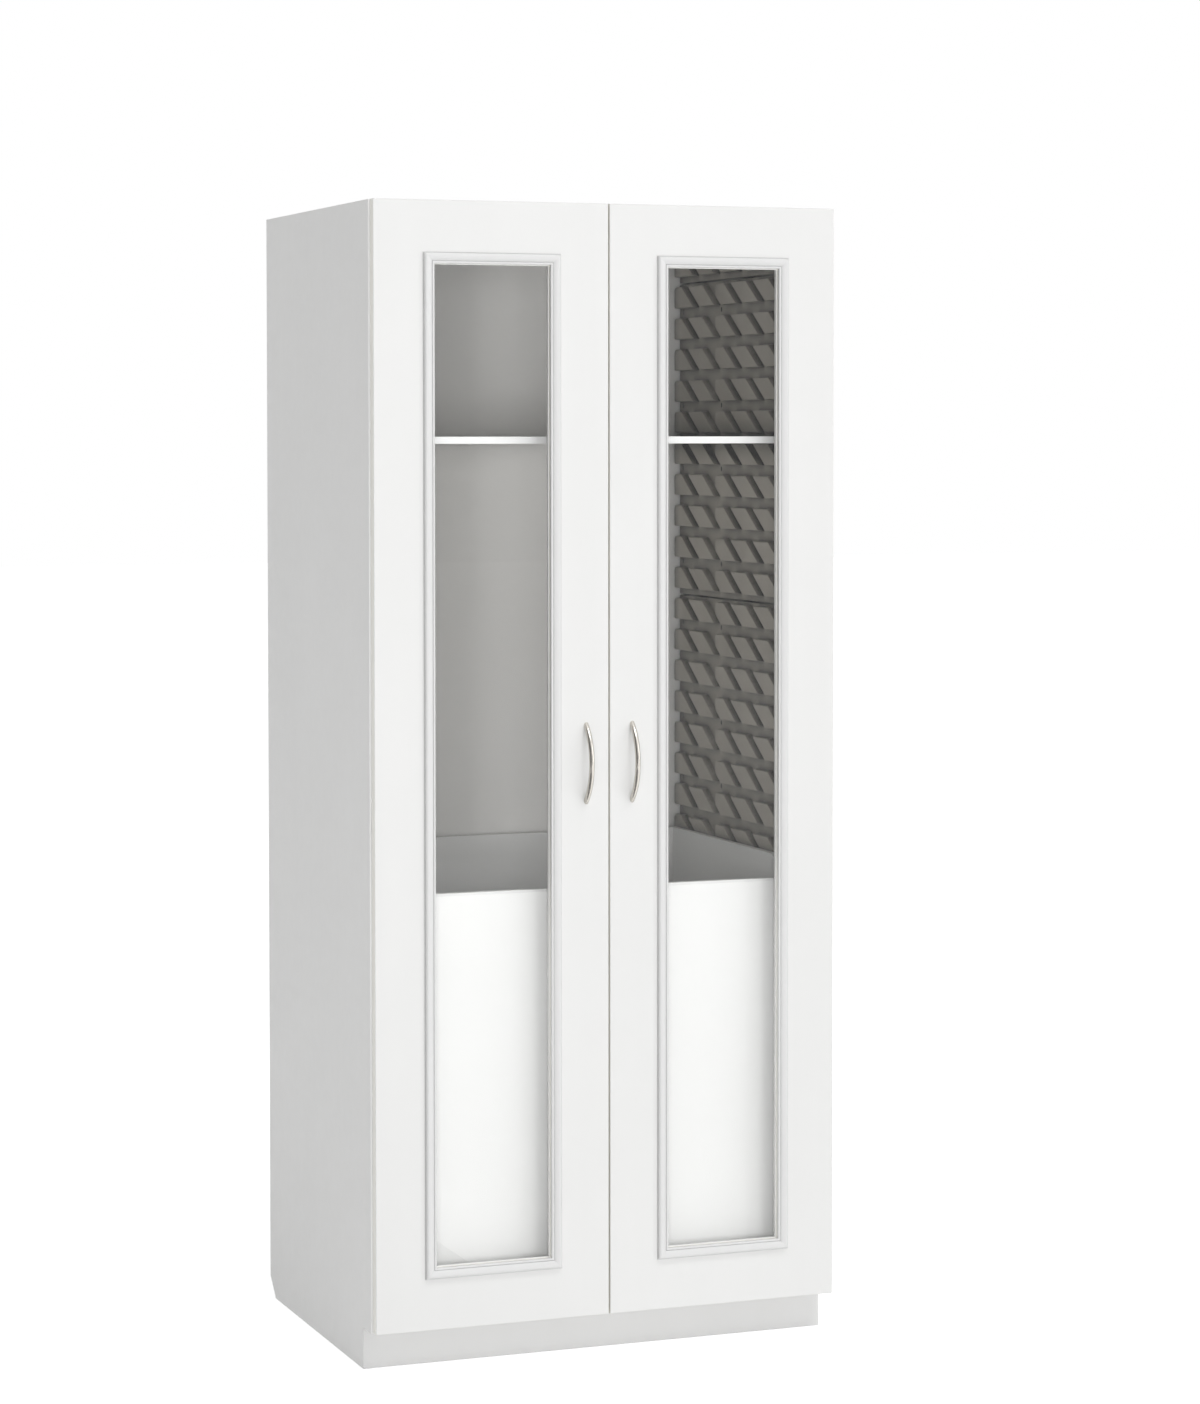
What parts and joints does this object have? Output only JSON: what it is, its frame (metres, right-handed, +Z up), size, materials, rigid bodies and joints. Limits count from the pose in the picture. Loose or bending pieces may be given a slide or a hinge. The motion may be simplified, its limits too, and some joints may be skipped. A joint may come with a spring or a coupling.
{
  "type": "catheter storage cabinet",
  "caption": "Tall white clinic storage cabinet with windowed, moulded-frame doors on concealed hinges, slotted wall liners, a shelf and a deep bin.",
  "frame": {"origin": "centre of the overall footprint on the floor, handles included", "axes": "+Z up, -Y front (doors and handles), +X to the right as seen from the front"},
  "size_m": [0.9144, 0.7196, 2.1336],
  "materials": {
    "white_laminate": "white laminate on board, satin",
    "white_moulding": "white foil-wrapped moulding, satin",
    "white_edge_band": "white edge band, satin",
    "grey_liner": "moulded grey plastic, fine texture",
    "batten_timber": "planed softwood, unfinished",
    "clear_pane": "clear, polished",
    "glazing_stop": "white, satin",
    "satin_nickel": "brushed nickel plate",
    "plated_hinge": "nickel plate, satin",
    "zinc_slide": "bright zinc plate",
    "bumper_rubber": "soft, translucent grey"
  },
  "bodies": {
    "cabinet": {"left_side_panel": "white_laminate", "right_side_panel": "white_laminate", "top_panel": "white_laminate", "bottom_deck": "white_laminate", "back_panel": "white_laminate", "toe_kick_board": "white_laminate", "rear_toe_rail": "white_laminate", "bin_front": "white_laminate", "bin_left_side": "white_laminate", "bin_right_side": "white_laminate", "bin_back": "white_laminate", "bin_floor": "white_laminate", "shelf": "white_laminate", "shelf_edge_band": "white_edge_band", "left_liner_lower": "grey_liner", "left_liner_middle": "grey_liner", "left_liner_upper": "grey_liner", "left_liner_top": "grey_liner", "right_liner_lower": "grey_liner", "right_liner_middle": "grey_liner", "right_liner_upper": "grey_liner", "right_liner_top": "grey_liner", "left_liner_battens": "batten_timber", "right_liner_battens": "batten_timber", "left_hinge_plates": "plated_hinge", "right_hinge_plates": "plated_hinge", "left_hinge_arms": "plated_hinge", "right_hinge_arms": "plated_hinge", "slide_cabinet_members": "zinc_slide", "slide_middle_members": "zinc_slide", "slide_bin_members": "zinc_slide"},
    "left_door": {"left_door_panel": "white_laminate", "left_door_glass": "clear_pane", "left_glass_stops": "glazing_stop", "left_moulding_bottom": "white_moulding", "left_moulding_top": "white_moulding", "left_moulding_outer": "white_moulding", "left_moulding_inner": "white_moulding", "left_handle": "satin_nickel", "left_hinge_cups": "plated_hinge", "left_door_bumpers": "bumper_rubber"},
    "right_door": {"right_door_panel": "white_laminate", "right_door_glass": "clear_pane", "right_glass_stops": "glazing_stop", "right_moulding_bottom": "white_moulding", "right_moulding_top": "white_moulding", "right_moulding_outer": "white_moulding", "right_moulding_inner": "white_moulding", "right_handle": "satin_nickel", "right_hinge_cups": "plated_hinge", "right_door_bumpers": "bumper_rubber"}
  },
  "joints": [
    {"name": "left_door_hinge", "type": "hinge", "parent": "cabinet", "child": "left_door", "pos_m": [-0.4487, -0.31895, 1.1058], "axis": [0, 0, -1], "range_deg": [0, 110]},
    {"name": "right_door_hinge", "type": "hinge", "parent": "cabinet", "child": "right_door", "pos_m": [0.4487, -0.31895, 1.1058], "axis": [0, 0, 1], "range_deg": [0, 110]}
  ]
}
